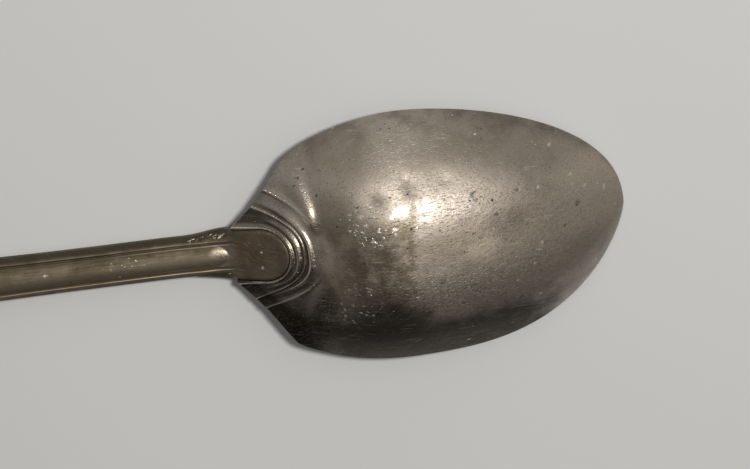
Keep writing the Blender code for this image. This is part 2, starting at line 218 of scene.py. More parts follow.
# Sections of the handle: distance in from the edge, height from the line of the thread's crest
BACK_SECTION = (
    (0.0, -0.0017),
    (0.0003, -0.0012),
    (0.0006, -0.00072),
    (0.0009, -0.00034),
    (0.0012, -0.00008),
    (0.00145, 0.0),
    (0.00166, -0.00008),
    (0.00186, -0.00036),
    (0.00208, -0.00026),
    (0.0024, 0.00006),
)
DROP_SECTION = ((0.0, -0.0006), (0.0002, -0.0003), (0.0005, -0.0001), (0.001, 0.0), (0.0024, 0.0))
FRONT_SECTION = (
    (0.0, 0.0008),
    (0.0004, 0.00025),
    (0.0009, 0.0),
    (0.0015, 0.0),
    (0.00175, 0.0003),
    (0.002, 0.0),
)
FIELD_RISE = 0.0009
FIELD_NOSE_X = -0.0129
FIELD_NOSE_LENGTH = 0.0046
FIELD_ROUNDING = 0.7
NOSE_ROUNDING = 0.85
THREAD_FADE = (-0.0098, -0.0060)
THREAD_REACH = 0.0002
BEVEL_WIDTH = 0.0012

# Solder
SOLDER_THICKNESS = 0.00025
SOLDER_INSET = 0.0004
# Where solder has run out along the neck's upper edge: first and last place along, and how many flakes
RUN_OUTS = ((-0.0176, -0.0136, 7), (-0.0124, -0.0092, 8))
FLAKE_SIZE = Vector((0.0007, 0.00018, 0.0001))
FLAKE_INSET = (0.2 * BEVEL_WIDTH, BEVEL_WIDTH)
FLAKE_STRAY = 0.8
FLAKE_GROWTH = 1.1
FLAKE_TURN = (0.5, 1.6)
FLAKE_RAGGED = 0.7
FLAKE_WAVES = 1.6
LOOSE_BEAD = (-0.0088, -0.0047)
LOOSE_BEAD_SHARE = 0.6

# How finely the surfaces are divided
BOWL_COLUMNS = 240
TAB_ROWS = 10
HEEL_ROWS = 92
BODY_ROWS = 96
RIM_CUTS = 4
RIM_ROUNDING = 3
RIM_SOFTENING = 0.5
NOSE_STEPS = 40
NECK_STEPS = 90
STEM_STEPS = 130
END_STEPS = 40
THREAD_ROWS = 34
FIELD_ROWS = 12
FRONT_ROWS = 20
SMOOTH_ANGLE = math.radians(35.0)

END_X = TIP_X - SPOON_LENGTH
END_CENTRE_X = END_X + END_ROUND
REST_X = END_X + REST_LENGTH

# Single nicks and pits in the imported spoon's frame: place along and across, half size along and across
BOWL_NICKS = (
    (0.1367, 0.0109, 0.0007, 0.0006),
    (0.1449, 0.0054, 0.0006, 0.0012),
    (0.1302, 0.0023, 0.0016, 0.0007),
    (0.1278, -0.0038, 0.0006, 0.0010),
    (0.1270, -0.0052, 0.0011, 0.0005),
    (0.1400, 0.0073, 0.0007, 0.0006),
    (0.1285, 0.0100, 0.0007, 0.0004),
    (0.1325, 0.0185, 0.0006, 0.0005),
    (0.0848, 0.0104, 0.0011, 0.0006),
    (0.0859, 0.0082, 0.0009, 0.0005),
    (0.0822, 0.0109, 0.0009, 0.0005),
    (0.0888, 0.0065, 0.0008, 0.0005),
    (0.0871, 0.0042, 0.0008, 0.0005),
    (0.0927, 0.0066, 0.0010, 0.0005),
)
BOWL_PITS = (
    (0.1378, 0.0036, 0.0011, 0.0011),
    (0.1340, -0.0010, 0.0006, 0.0005),
    (0.1175, 0.0061, 0.0007, 0.0006),
    (0.1122, 0.0117, 0.0008, 0.0011),
    (0.1231, 0.0106, 0.0008, 0.0006),
    (0.1215, -0.0165, 0.0008, 0.0006),
    (0.1072, -0.0150, 0.0009, 0.0007),
)
STEM_NICKS = ((0.0065, 0.0009, 0.0009, 0.0003), (0.0597, -0.0025, 0.0005, 0.0005))

# Dents of long use in the bowl's back, and one swelling: place along and across, radius, depth
BOWL_DENTS = (
    (0.0371, 0.0156, 0.0026, 0.00044),
    (0.0293, 0.0132, 0.0030, 0.00042),
    (0.0383, 0.0128, 0.0013, 0.00020),
    (0.0386, 0.0106, 0.0013, 0.00026),
    (0.0388, 0.0082, 0.0013, 0.00018),
    (0.0387, 0.0054, 0.0015, 0.00010),
    (0.0458, 0.0155, 0.0024, 0.00025),
    (0.0352, 0.0119, 0.0025, 0.00010),
    (0.0410, 0.0088, 0.0025, 0.00006),
    (0.0580, 0.0125, 0.0090, -0.00030),
    (0.0300, -0.0030, 0.0060, 0.00016),
    (0.0440, -0.0040, 0.0045, 0.00010),
    (0.0480, -0.0120, 0.0060, 0.00014),
    (0.0230, -0.0150, 0.0060, 0.00014),
    (0.0720, -0.0060, 0.0060, 0.00012),
)


def ramp(value, start, stop):
    """Rise smoothly from 0 at start to 1 at stop."""
    t = min(max((value - start) / (stop - start), 0.0), 1.0)
    return t * t * (3.0 - 2.0 * t)


def mix(a, b, t):
    return a + (b - a) * t


def curve_through(points, at):
    """Height at a place on a smooth curve through the points of a section, with no overshoot."""
    if at <= points[0][0]:
        return points[0][1]
    if at >= points[-1][0]:
        return points[-1][1]
    i = 0
    while points[i + 1][0] < at:
        i += 1

    def slope(k):
        if k <= 0 or k >= len(points) - 1:
            return 0.0
        before = (points[k][1] - points[k - 1][1]) / (points[k][0] - points[k - 1][0])
        after = (points[k + 1][1] - points[k][1]) / (points[k + 1][0] - points[k][0])
        if before * after <= 0.0:
            return 0.0
        return 2.0 * before * after / (before + after)

    (x0, y0), (x1, y1) = points[i], points[i + 1]
    span = x1 - x0
    t = (at - x0) / span
    start, stop = slope(i) * span, slope(i + 1) * span
    rise = y1 - y0
    return y0 + t * start + t * t * (3.0 * rise - 2.0 * start - stop) + t ** 3 * (start + stop - 2.0 * rise)


def hollow_of(height, at, reach):
    """How far a section lies below (positive) or above (negative) its neighbours at a place."""
    return (height(at - reach) + height(at + reach)) / 2.0 - height(at)


def front_line(x):
    """Height of the handle's front: flat on the table at the end, a low arch, then the bend at the neck."""
    t = min(max((x - REST_X) / (TAB_X - REST_X), 0.0), 1.0)
    bend = min(max((x - NECK_BEND_X) / (TAB_X - NECK_BEND_X), 0.0), 1.0)
    arch = NECK_FRONT_Z * ramp(t, 0.0, 1.0) + ARCH_HEIGHT * math.sin(math.pi * t) ** 2
    return arch + NECK_BEND_RISE * bend ** 2


def thickness(x):
    return mix(END_THICKNESS, STEM_THICKNESS, ramp(x, END_X, FULL_THICKNESS_X))


def rim_height(x):
    """Height of the bowl's rim plane, which touches the table at the tip."""
    return (TIP_X - x) * math.tan(RIM_TILT)


def shoulder_width(x, side, inset):
    """Width from the middle to the hollow shoulder that runs from the tab out to the corner."""
    hollow = (WHOLE_SHOULDER if side > 0 else WORN_SHOULDER)[0]
    along = x - TAB_X
    edge = TAB_HALF_WIDTH + SHOULDER_SLOPE * along + hollow * along * along
    return edge - inset * math.hypot(1.0, SHOULDER_SLOPE)


def corner(side):
    """Where the shoulder on one side turns into the egg."""
    return (WHOLE_SHOULDER if side > 0 else WORN_SHOULDER)[1]


def half_width(x, side, inset):
    """Width of the bowl from the middle to one side, or to a line inset from its edge."""
    full = (WHOLE_SIDE if side > 0 else WORN_SIDE) - inset
    if x >= WIDEST_X:
        f = min((x - WIDEST_X) / (TIP_X - inset - WIDEST_X), 1.0)
        power, fullness = WHOLE_TIP if side > 0 else WORN_TIP
        return full * (1.0 - f ** power) ** fullness
    corner_x = corner(side)
    width = shoulder_width(corner_x, side, inset)
    to_corner = WIDEST_X - corner_x
    reach = to_corner / math.sqrt(1.0 - (width / full) ** 2)
    behind = max(corner_x - x, 0.0)
    egg = full * math.sqrt(1.0 - ((WIDEST_X - x - behind) / reach) ** 2)
    egg -= behind * to_corner * full * full / (reach * reach * width)
    shoulder = shoulder_width(x, side, inset)
    return (egg + shoulder - math.hypot(egg - shoulder, SHOULDER_SOFTNESS)) / 2.0


def spine_height(x):
    """Height of the plain bowl's back along the middle."""
    if x >= DEEPEST_X:
        rise = BOWL_DEPTH * (1.0 - ((x - DEEPEST_X) / (TIP_X - DEEPEST_X)) ** TIP_POWER)
    else:
        neck_rise = front_line(NECK_X) + thickness(NECK_X) - rim_height(NECK_X)
        rise = mix(neck_rise, BOWL_DEPTH, ramp(x, NECK_X, DEEPEST_X))
    return rim_height(x) + rise


def edge_height(x):
    """Height of the bowl's outer edge: the rim plane, a little higher at the shoulders, then the neck's."""
    neck_edge = front_line(TAB_X) + NECK_EDGE_SHARE * thickness(TAB_X)
    rim = rim_height(x) + SHOULDER_LIFT * (1.0 - ramp(x, SHOULDER_X, SHOULDER_LIFT_END_X))
    return mix(neck_edge, rim, ramp(x, NECK_EDGE_X, SHOULDER_X))


def crown(x, y, inset):
    """Share of the middle's height that a section keeps at y."""
    side = half_width(x, y, inset)
    if side < NO_WIDTH:
        return 0.0
    power = WHOLE_CROWN_POWER if y > 0 else WORN_CROWN_POWER
    return 1.0 - min(abs(y) / side, 1.0) ** power


def dents(x, y):
    """How far use has pressed the bowl in at a place, with nothing on the heel."""
    depth = 0.0
    for dent_x, dent_y, radius, deep in BOWL_DENTS:
        away = ((x - dent_x) ** 2 + (y - dent_y) ** 2) / (radius * radius)
        if away < DENT_REACH ** 2:
            depth += deep * math.exp(-away)
    waves = 0.0
    for count, seed, share in BOWL_WAVES:
        waves += share * noise.noise(Vector((x * count, y * count, seed)))
    return (depth + BOWL_WAVE_HEIGHT * waves) * ramp(x, *DENTS_START)


def heel_lift(across, place):
    """Height of the heel's ribs and threads above the plain bowl."""
    outermost = ramp(place, *OUTERMOST_RING)
    arm = ramp(abs(across), mix(*ARM_START, outermost), mix(*ARM_FULL, outermost))
    return mix(curve_through(NOSE_SECTION, place), curve_through(ARM_SECTION, place), arm)


def fold_lift(x, y):
    """Height of the soft folds that run out from the ribs' nose to the shoulder corners."""
    inner, outer = (Vector(end) for end in FOLD_ENDS)
    along = outer - inner
    here = Vector((x, abs(y))) - inner
    t = here.dot(along) / along.length_squared
    part = min(max(t, 0.0), 1.0)
    away = (here - along * t).length / mix(*FOLD_RADIUS, part)
    ends = ramp(t, *FOLD_START) * (1.0 - ramp(t, *FOLD_END))
    share = 1.0 if y > 0 else WORN_FOLD_SHARE
    return share * mix(*FOLD_RISE, part) * math.exp(-away * away) * ends


def rim_fade(share):
    """1 over most of a section, falling to 0 at the rim, where folds and dents end."""
    return min(RIM_FADE * share, 1.0)


def bowl_back(x, y):
    edge = edge_height(x)
    share = crown(x, y, 0.0)
    return edge + (spine_height(x) - edge) * share + (fold_lift(x, y) - dents(x, y)) * rim_fade(share)


def bowl_front(x, y):
    tab_edge = edge_height(TAB_X) - front_line(TAB_X)
    edge_depth = mix(tab_edge, CORNER_EDGE, ramp(x, TAB_X, SHOULDER_X))
    edge = edge_height(x) - edge_depth * (1.0 - ramp(x, SHOULDER_X, WALL_FULL_X))
    if x >= DEEPEST_X:
        f = min((x - DEEPEST_X) / (TIP_X - RIM_WIDTH - DEEPEST_X), 1.0)
        spine = rim_height(x) + (BOWL_DEPTH - WALL) * (1.0 - f ** TIP_POWER)
    else:
        tab = spine_height(TAB_X) - front_line(TAB_X)
        spine = spine_height(x) - mix(tab, WALL, ramp(x, TAB_X, WALL_FULL_X))
    share = crown(x, y, RIM_WIDTH)
    return edge + (spine - edge) * share - dents(x, y) * rim_fade(share)


def bowl_flank_shade(x, y):
    """How much painted shade darkens the flanks, more on the worn side's than on the whole side's, less
    towards the tip on the worn side.
    """
    side = half_width(x, y, 0.0)
    if side < NO_WIDTH:
        return 0.0
    share = abs(y) / side
    if y > 0:
        return WHOLE_FLANK_SHADE * ramp(share, *WHOLE_FLANK)
    return ramp(share, *WORN_FLANK) * (1.0 - FLANK_SHADE_TIP_FADE_SHARE * ramp(x, *FLANK_SHADE_TIP_FADE))


def inner_ring(across, inset):
    """Ring that follows the drop: half a circle, then arms that open slightly to the shoulder edge."""
    radius = DROP_RADIUS + RING_STANDOFF
    turn = abs(across)
    if turn < RING_ARC_SHARE:
        angle = turn / RING_ARC_SHARE * math.pi / 2.0
        return Vector((radius * math.cos(angle), math.copysign(radius * math.sin(angle), across)))
    t = (turn - RING_ARC_SHARE) / (1.0 - RING_ARC_SHARE)
    y = mix(radius, half_width(RING_ARM_X, across, inset), t * t)
    return Vector((RING_ARM_X * t, math.copysign(y, across)))


def outer_ring(across, inset, nose_x, whole_arm_x, worn_arm_x):
    """Ring from one shoulder edge (across is -1) round its nose to the other (1)."""
    arm_x = whole_arm_x if across > 0 else worn_arm_x
    spread = math.sin(across * math.pi / 2.0)
    x = mix(nose_x, arm_x, abs(spread) ** RING_POWER)
    return Vector((x, spread * half_width(arm_x, across, inset)))


def ring_point(across, place, inset):
    """Point on the heel at a place counted in rings."""
    inner = inner_ring(across, inset)
    middle = outer_ring(across, inset, *OUTER_RINGS[0])
    if place < 0.0:
        # Inside the inner ring the heel keeps short of the tab's end
        step = (middle - inner) * place
        room = (TAB_X - inner.x) * place / HEEL_FIRST
        step.x *= room / (room + step.x)
        return inner + step
    if place < 1.0:
        return inner.lerp(middle, place)
    return middle.lerp(outer_ring(across, inset, *OUTER_RINGS[1]), place - 1.0)


def rim_point(across, inset):
    """Point on the bowl's rim, from one shoulder corner round the tip to the other."""
    x = mix(corner(across), TIP_X - inset, math.sin((1.0 - abs(across)) * math.pi / 2.0))
    return Vector((x, math.copysign(half_width(x, across, inset), across)))


def bowl_plan(across, place, inset):
    """Point of the bowl from above: the tab's middle at place -1, the rings, then the body out to the rim."""
    if place < HEEL_FIRST:
        share = (place + 1.0) / (HEEL_FIRST + 1.0)
        return Vector((TAB_X, 0.0)).lerp(ring_point(across, HEEL_FIRST, inset), share)
    inner = ring_point(across, min(place, HEEL_LAST), inset)
    if place <= HEEL_LAST:
        return inner
    return inner.lerp(rim_point(across, inset), place - HEEL_LAST)


def neck_flare(x):
    """How far the handle widens towards the neck, outside its threads, which run on straight."""
    return (NECK_HALF_WIDTH - STEM_HALF_WIDTH) * ramp(x, NECK_FLARE_X, TAB_X)


def handle_half_width(x):
    swell = (END_HALF_WIDTH - STEM_HALF_WIDTH) * ramp(x, SWELL_X, END_CENTRE_X) ** SWELL_POWER
    drop = (DROP_RADIUS - NECK_HALF_WIDTH) * ramp(x, TAB_X, 0.0)
    return STEM_HALF_WIDTH + swell + neck_flare(x) + drop


def drop_top(x):
    """Height of the handle's back along the line of the thread's crest and on along the drop."""
    stem = front_line(x) + thickness(x)
    heel = spine_height(x) + DROP_RISE * ramp(x, NECK_X, 0.0)
    return mix(stem, heel, ramp(x, *NECK_BLEND))


def lap_height(x):
    """Height of the drop's flat underside."""
    neck = drop_top(TAB_X) - DROP_NECK_THICKNESS
    nose = drop_top(DROP_RADIUS) - DROP_NOSE_THICKNESS
    return mix(neck, nose, (x - TAB_X) / (DROP_RADIUS - TAB_X))


def lap_upright():
    """How much higher than its thickness a layer is that lies along the drop's sloping underside."""
    slope = (lap_height(DROP_RADIUS) - lap_height(TAB_X)) / (DROP_RADIUS - TAB_X)
    return math.hypot(1.0, slope)


def nose_arc(radius):
    """One side of the drop's round nose from above, from its middle outwards."""
    angles = [math.pi / 2.0 * i / NOSE_STEPS for i in range(NOSE_STEPS)]
    return [(radius * math.cos(angle), radius * math.sin(angle)) for angle in angles]


def handle_loop():
    """Stops once round the handle from the drop's nose: an edge point, and the x of its middle point."""
    side = [(x, y, 0.0) for x, y in nose_arc(DROP_RADIUS)]
    for i in range(NECK_STEPS):
        x = NECK_FLARE_X * i / NECK_STEPS
        side.append((x, handle_half_width(x), x))
    for i in range(STEM_STEPS):
        x = mix(NECK_FLARE_X, END_CENTRE_X, i / STEM_STEPS)
        side.append((x, handle_half_width(x), x))
    for i in range(END_STEPS + 1):
        angle = math.pi / 2.0 * i / END_STEPS
        x = END_CENTRE_X - END_ROUND * math.sin(angle)
        side.append((x, END_HALF_WIDTH * math.cos(angle), END_CENTRE_X))
    return side + [(x, -y, middle) for x, y, middle in side[-2::-1]]


def reach_of(stop):
    """Distance from the edge to the middle at a stop."""
    x, y, middle_x = stop
    return (Vector((x, y)) - Vector((middle_x, 0.0))).length


def inset_point(stop, distance):
    x, y, middle_x = stop
    return Vector((x, y)).lerp(Vector((middle_x, 0.0)), min(distance / reach_of(stop), 1.0))


def field_height(x, y, side):
    """The convex middle field between the threads, with a rounded nose at the neck."""
    past_nose = max(x - FIELD_NOSE_X, 0.0) / FIELD_NOSE_LENGTH
    left = 1.0 - (y / side) ** 2 - past_nose ** 2
    rounding = mix(FIELD_ROUNDING, NOSE_ROUNDING, ramp(x, NECK_FLARE_X, FIELD_NOSE_X))
    return FIELD_RISE * max(left, 0.0) ** rounding


def handle_wear(x, y):
    """Small unevenness of a handle that has been knocked about."""
    along, across, seed = HANDLE_WAVES
    return HANDLE_WAVE_HEIGHT * noise.noise(Vector((x * along, y * across, seed)))


def handle_back(stop, distance):
    """Point of the handle's back at a distance in from its edge, how hollow it is there, and how much painted
    shade darkens its edge bevel there.
    """
    reach = reach_of(stop)
    flare = neck_flare(stop[0])
    foot = BACK_SECTION[-1][0]
    inset = distance + flare * ramp(distance, 0.0, BEVEL_WIDTH)
    point = inset_point(stop, inset)
    drop_share = ramp(point.x, *THREAD_FADE)

    def thread(at):
        return curve_through(BACK_SECTION, at)

    z = drop_top(point.x) + mix(thread(distance), curve_through(DROP_SECTION, inset), drop_share)
    z -= DROP_CROWN * drop_share * (point.y / DROP_RADIUS) ** 2
    if distance > foot:
        z += field_height(point.x, reach - inset, reach - flare - foot)
    hollow = 0.0
    if distance > BEVEL_WIDTH:
        hollow = hollow_of(thread, distance, THREAD_REACH) / THREAD_REACH * (1.0 - drop_share)
    # Painted shade on the edge bevel, fading in towards the threads and gone on the drop
    grime_and_shade = (1.0 - ramp(distance, 0.5 * BEVEL_WIDTH, BEVEL_WIDTH)) * (1.0 - drop_share)
    return Vector((point.x, point.y, z + handle_wear(point.x, point.y))), hollow, grime_and_shade


def handle_front(stop, distance):
    """Point of the handle's front at a distance in from its edge, how hollow it is there and how grimy."""
    point = inset_point(stop, distance)
    z = front_line(point.x) + curve_through(FRONT_SECTION, distance)
    return Vector((point.x, point.y, z)), 0.0, FRONT_GRIME


def only(piece):
    """Select one object and nothing else."""
    bpy.ops.object.select_all(action="DESELECT")
    piece.select_set(True)
    bpy.context.view_layer.objects.active = piece


def face_outwards(piece):
    only(piece)
    bpy.ops.object.mode_set(mode="EDIT")
    bpy.ops.mesh.select_all(action="SELECT")
    bpy.ops.mesh.normals_make_consistent(inside=False)
    bpy.ops.object.mode_set(mode="OBJECT")


def skin(name, columns, rows, place):
    """Add a grid of faces and lay its corners at place(column, row), marked how hollow each is and how much
    grime and painted shade it carries.
    """
    bpy.ops.object.select_all(action="DESELECT")
    bpy.ops.mesh.primitive_grid_add(x_subdivisions=columns, y_subdivisions=rows, size=2.0)
    sheet = bpy.context.object
    sheet.name = name
    mesh = sheet.data
    hollows = mesh.attributes.new("hollow", "FLOAT", "POINT")
    grime_and_shade_values = mesh.attributes.new("grime_and_shade", "FLOAT", "POINT")
    for vert in mesh.vertices:
        column = round((vert.co.x + 1.0) / 2.0 * columns)
        row = round((vert.co.y + 1.0) / 2.0 * rows)
        point, hollow, grime_and_shade = place(column, row)
        vert.co = point + DROP_PLACE
        hollows.data[vert.index].value = hollow
        grime_and_shade_values.data[vert.index].value = grime_and_shade
    return sheet


def close_skins(back, front):
    """Join a back and a front skin by a band round their open edges and wear the band's corners round."""
    only(back)
    front.select_set(True)
    bpy.ops.object.join()
    bpy.ops.object.mode_set(mode="EDIT")
    bpy.ops.mesh.select_mode(type="VERT")
    bpy.ops.mesh.select_all(action="SELECT")
    bpy.ops.mesh.remove_doubles(threshold=NO_WIDTH)
    bpy.ops.mesh.select_mode(type="EDGE")
    bpy.ops.mesh.select_all(action="DESELECT")
    bpy.ops.mesh.select_non_manifold(
        extend=False,
        use_wire=False,
        use_boundary=True,
        use_multi_face=False,
        use_non_contiguous=False,
        use_verts=False,
    )
    bpy.ops.mesh.bridge_edge_loops(number_cuts=RIM_CUTS, interpolation="LINEAR")
    bpy.ops.mesh.select_mode(type="VERT")
    bpy.ops.mesh.vertices_smooth(factor=RIM_SOFTENING, repeat=RIM_ROUNDING)
    bpy.ops.object.mode_set(mode="OBJECT")
    face_outwards(back)
    return back


def drop_outline(grow, back_x):
    """Outline of the drop from above, grown or shrunk, cut straight across at back_x."""
    upper = nose_arc(DROP_RADIUS + grow)
    for i in range(NOSE_STEPS + 1):
        x = back_x * i / NOSE_STEPS
        upper.append((x, handle_half_width(x) + grow))
    return upper + [(x, -y) for x, y in upper[:0:-1]]


def column_from(name, outline, low, high):
    """A drum whose wall follows an outline, between two heights that may change along x."""
    count = len(outline)
    bpy.ops.object.select_all(action="DESELECT")
    bpy.ops.mesh.primitive_cylinder_add(vertices=count, radius=1.0, depth=2.0, end_fill_type="NGON")
    drum = bpy.context.object
    drum.name = name
    for vert in drum.data.vertices:
        turn = math.atan2(vert.co.y, vert.co.x) / (2.0 * math.pi)
        x, y = outline[round(turn * count) % count]
        height = high(x) if vert.co.z > 0.0 else low(x)
        vert.co = Vector((x, y, height)) + DROP_PLACE
    face_outwards(drum)
    return drum


def cut(body, cutter):
    """Take the cutter's shape out of the body and remove the cutter."""
    only(body)
    boolean = body.modifiers.new("cut", "BOOLEAN")
    boolean.operation = "DIFFERENCE"
    boolean.solver = "EXACT"
    boolean.object = cutter
    bpy.ops.object.modifier_apply(modifier="cut")
    bpy.data.objects.remove(cutter)


def make_bowl():
    """The struck bowl: a back skin with the heel's rings, a plain hollow front skin, and the drop's seat."""
    places = [mix(-1.0, HEEL_FIRST, i / TAB_ROWS) for i in range(TAB_ROWS)]
    places += [mix(HEEL_FIRST, HEEL_LAST, i / HEEL_ROWS) for i in range(HEEL_ROWS + 1)]
    places += [HEEL_LAST + i / BODY_ROWS for i in range(1, BODY_ROWS + 1)]
    half = BOWL_COLUMNS // 2

    def back(column, row):
        place = places[row]
        across = (column - half) / half
        point = bowl_plan(across, place, 0.0)
        lift = heel_lift(across, place)
        hollow = hollow_of(lambda at: heel_lift(across, at), place, RING_REACH) / RING_HOLLOW
        cove = ramp(COVE_LEVEL - lift, 0.0, COVE_DEPTH)
        cove *= ramp(place, *COVE_START) * (1.0 - ramp(place, *COVE_END))
        dent = ramp(dents(point.x, point.y), 0.0, DENT_FULL)
        # Painted shade along the flanks, tarnish with painted shade in dents, tarnish in the heel's coves
        grime_and_shade = max(bowl_flank_shade(point.x, point.y), COVE_GRIME * cove, DENT_GRIME_AND_SHADE * dent)
        return Vector((point.x, point.y, bowl_back(point.x, point.y) + lift)), hollow, grime_and_shade

    def front(column, row):
        point = bowl_plan((column - half) / half, places[row], RIM_WIDTH)
        return Vector((point.x, point.y, bowl_front(point.x, point.y))), 0.0, FRONT_GRIME

    rows = len(places) - 1
    bowl = close_skins(
        skin("bowl_shell", BOWL_COLUMNS, rows, back),
        skin("bowl_hollow", BOWL_COLUMNS, rows, front),
    )
    seat_depth = (SOLDER_THICKNESS + 2.0 * CLEARANCE) * lap_upright()
    seat = column_from(
        "seat",
        drop_outline(CLEARANCE, NECK_FLARE_X),
        lambda x: lap_height(x) - seat_depth,
        lambda x: 2.0 * BOWL_DEPTH,
    )
    cut(bowl, seat)
    return bowl


def add_flake(size, place, turn, seed):
    """A small lump of solder, ragged round its edge, sunk to its middle in what it lies on."""
    bpy.ops.object.select_all(action="DESELECT")
    bpy.ops.mesh.primitive_ico_sphere_add(subdivisions=3, radius=1.0)
    flake = bpy.context.object
    spin = Matrix.Rotation(turn, 3, "Z")
    for vert in flake.data.vertices:
        ragged = 1.0 + FLAKE_RAGGED * noise.noise(vert.co * FLAKE_WAVES + Vector((seed, 0.0, 0.0)))
        vert.co = place + spin @ (vert.co * size * ragged)
    return flake


def chance(i, count, seed):
    """A value about 0 that differs from flake to flake and is the same each run."""
    return noise.noise(Vector((i, count, seed)))


def make_solder():
    """The layer between drop and seat, with the flakes that ran out along the neck's upper edge."""
    upright = lap_upright()
    seam = column_from(
        "solder_seam",
        drop_outline(-SOLDER_INSET, TAB_X + SOLDER_INSET),
        lambda x: lap_height(x) - (CLEARANCE + SOLDER_THICKNESS) * upright,
        lambda x: lap_height(x) - CLEARANCE * upright,
    )
    flakes = []
    for first_x, last_x, count in RUN_OUTS:
        for i in range(count):
            x = mix(first_x, last_x, (i + FLAKE_STRAY * chance(i * 3.7, count, 0.2)) / (count - 1))
            edge_share = min(max(0.5 + chance(i * 2.3, count, 5.1), 0.0), 1.0)
            inset = mix(*FLAKE_INSET, edge_share)
            place = handle_back((x, handle_half_width(x), x), inset)[0] + DROP_PLACE
            grow = 1.0 + FLAKE_GROWTH * chance(i * 1.9, count, 9.3)
            turn = FLAKE_TURN[0] + FLAKE_TURN[1] * chance(i * 4.3, count, 7.7)
            flakes.append(add_flake(FLAKE_SIZE * grow, place, turn, 3.1 * i + count))
    x, y = LOOSE_BEAD
    place = handle_back((x, -handle_half_width(x), x), BEVEL_WIDTH)[0] + DROP_PLACE
    place.y = y + DROP_PLACE.y
    flakes.append(add_flake(FLAKE_SIZE * LOOSE_BEAD_SHARE, place, 0.0, 0.4))
    only(seam)
    for flake in flakes:
        flake.select_set(True)
    bpy.ops.object.join()
    return seam


def make_handle():
    """Stem, threaded edges and drop in one body, then the half-lap that leaves room for the bowl's tab."""
    loop = handle_loop()
    columns = len(loop) - 1
    foot = BACK_SECTION[-1][0]
    front_foot = FRONT_SECTION[-1][0]

    def back(column, row):
        stop = loop[column]
        reach = reach_of(stop) - neck_flare(stop[0])
        if row <= THREAD_ROWS:
            return handle_back(stop, foot * row / THREAD_ROWS)
        return handle_back(stop, mix(foot, reach, (row - THREAD_ROWS) / FIELD_ROWS))

    def front(column, row):
        stop = loop[column]
        if row <= FRONT_ROWS:
            return handle_front(stop, front_foot * row / FRONT_ROWS)
        return handle_front(stop, reach_of(stop))

    handle = close_skins(
        skin("handle_bar", columns, THREAD_ROWS + FIELD_ROWS, back),
        skin("handle_front", columns, FRONT_ROWS + 1, front),
    )
    back_x = TAB_X - CLEARANCE
    past_x = DROP_RADIUS * 1.5
    bpy.ops.object.select_all(action="DESELECT")
    bpy.ops.mesh.primitive_cube_add(size=2.0)
    lap = bpy.context.object
    lap.name = "lap"
    for vert in lap.data.vertices:
        x = past_x if vert.co.x > 0.0 else back_x
        z = lap_height(x) if vert.co.z > 0.0 else -STEM_THICKNESS
        vert.co = Vector((x, 2.0 * DROP_RADIUS * vert.co.y, z)) + DROP_PLACE
    cut(handle, lap)
    return handle


class Tone:
    """A value or colour on its way through a finish's nodes."""

    def __init__(self, finish, socket):
        self.finish = finish
        self.socket = socket

    def worked(self, operation, first, second):
        return self.finish.add("ShaderNodeMath", {"operation": operation}, {0: first, 1: second})

    def __add__(self, other):
        return self.worked("ADD", self, other)

    def __radd__(self, other):
        return self.worked("ADD", other, self)

    def __sub__(self, other):
        return self.worked("SUBTRACT", self, other)

    def __rsub__(self, other):
        return self.worked("SUBTRACT", other, self)

    def __mul__(self, other):
        return self.worked("MULTIPLY", self, other)

    def __rmul__(self, other):
        return self.worked("MULTIPLY", other, self)


